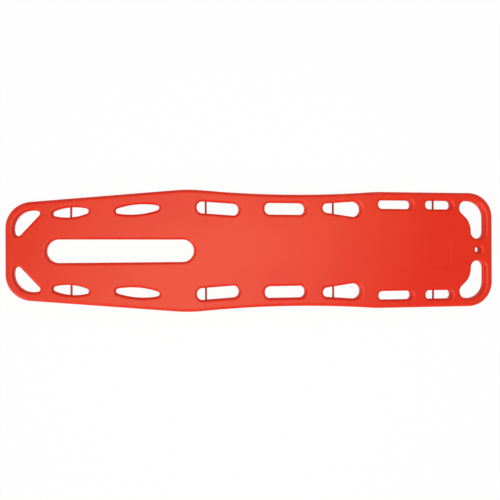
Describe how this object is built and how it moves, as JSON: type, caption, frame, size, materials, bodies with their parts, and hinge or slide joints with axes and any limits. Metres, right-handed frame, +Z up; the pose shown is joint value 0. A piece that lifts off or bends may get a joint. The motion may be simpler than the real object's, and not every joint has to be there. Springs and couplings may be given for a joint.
{
  "type": "spine board",
  "caption": "Long rescue board with rounded corners, a slot between the legs, hand openings along both edges and clip pins across some of them.",
  "frame": {"origin": "middle of the board on the ground, under the runners", "axes": "+X to the head end, +Z up to the side the patient lies on, +Y to the patient's right"},
  "size_m": [1.84, 0.4536, 0.05],
  "materials": {
    "red_skin": "moulded polyethylene, satin, bright red",
    "red_pin": "smooth nylon rod, red like the board",
    "glass_fibre": "pultruded glass fibre, dull, hidden in the foam",
    "foam": "rigid closed-cell foam, hidden",
    "plug": "pressed-in polyethylene plug"
  },
  "bodies": {
    "root": {"board_shell": "red_skin", "clip_pin_ankle_left": "red_pin", "clip_pin_ankle_right": "red_pin", "clip_pin_neck_left": "red_pin", "clip_pin_neck_right": "red_pin", "clip_pin_rib_left": "red_pin", "clip_pin_rib_right": "red_pin", "clip_pin_thigh_left": "red_pin", "clip_pin_thigh_right": "red_pin", "fill_plug": "plug", "foam_core": "foam", "stiffener_inner_left": "glass_fibre", "stiffener_inner_right": "glass_fibre", "stiffener_outer_left": "glass_fibre", "stiffener_outer_right": "glass_fibre", "vent_plug_foot": "plug", "vent_plug_head": "plug"}
  },
  "joints": []
}
